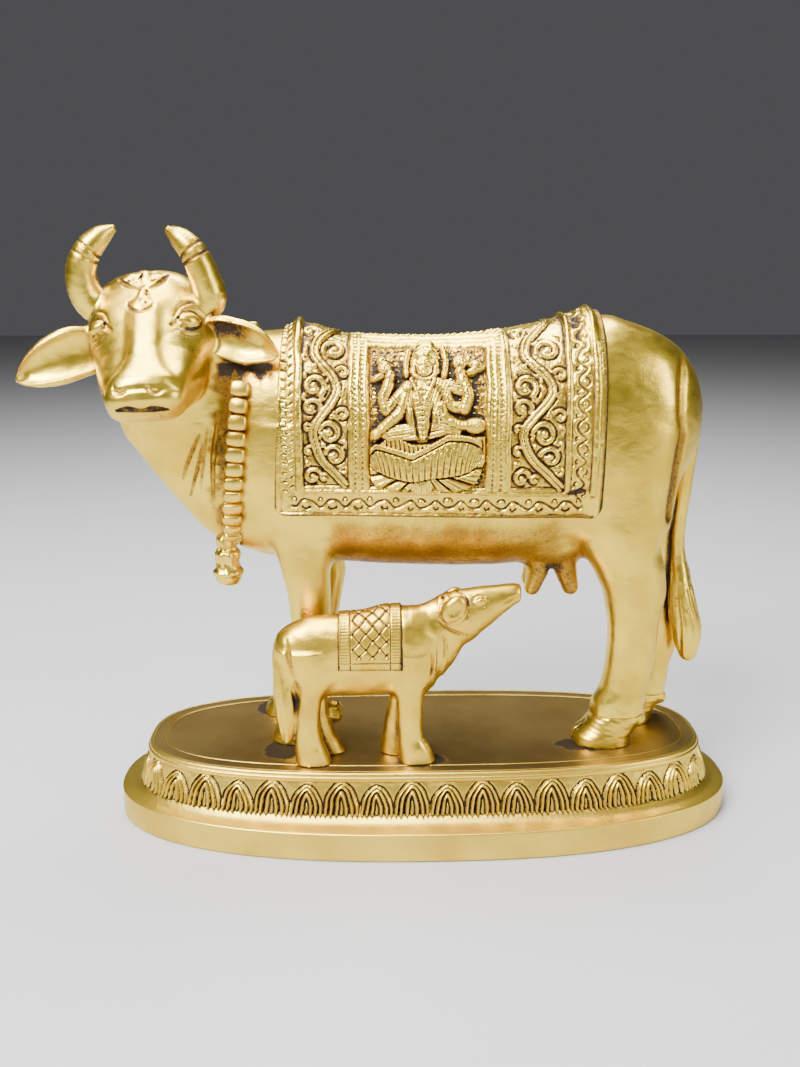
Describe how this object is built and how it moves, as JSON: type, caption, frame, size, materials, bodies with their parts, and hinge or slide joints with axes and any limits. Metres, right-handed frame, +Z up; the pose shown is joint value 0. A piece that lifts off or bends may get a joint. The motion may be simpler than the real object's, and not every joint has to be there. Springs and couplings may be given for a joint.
{
  "type": "cow and calf statue",
  "caption": "Standing brass cow with a draped saddle cloth, a bead garland and her calf, on an oval lotus plinth; a table statue that stands by its own weight.",
  "frame": {"origin": "middle of the plinth's flat underside", "axes": "+Z up, +X along the plinth towards the cow's tail end, +Y away from the calf's side, so the cow's face and the calf are on the -Y side"},
  "size_m": [0.2214, 0.084, 0.185],
  "materials": {
    "plinth_brass": "cast, satin, with dark patina in the recesses",
    "cow_brass": "hand-polished, with dark patina in the recesses",
    "calf_brass": "hand-polished, with dark patina in the recesses"
  },
  "bodies": {
    "root": {"plinth": "plinth_brass", "cow": "cow_brass", "calf": "calf_brass"}
  },
  "joints": []
}
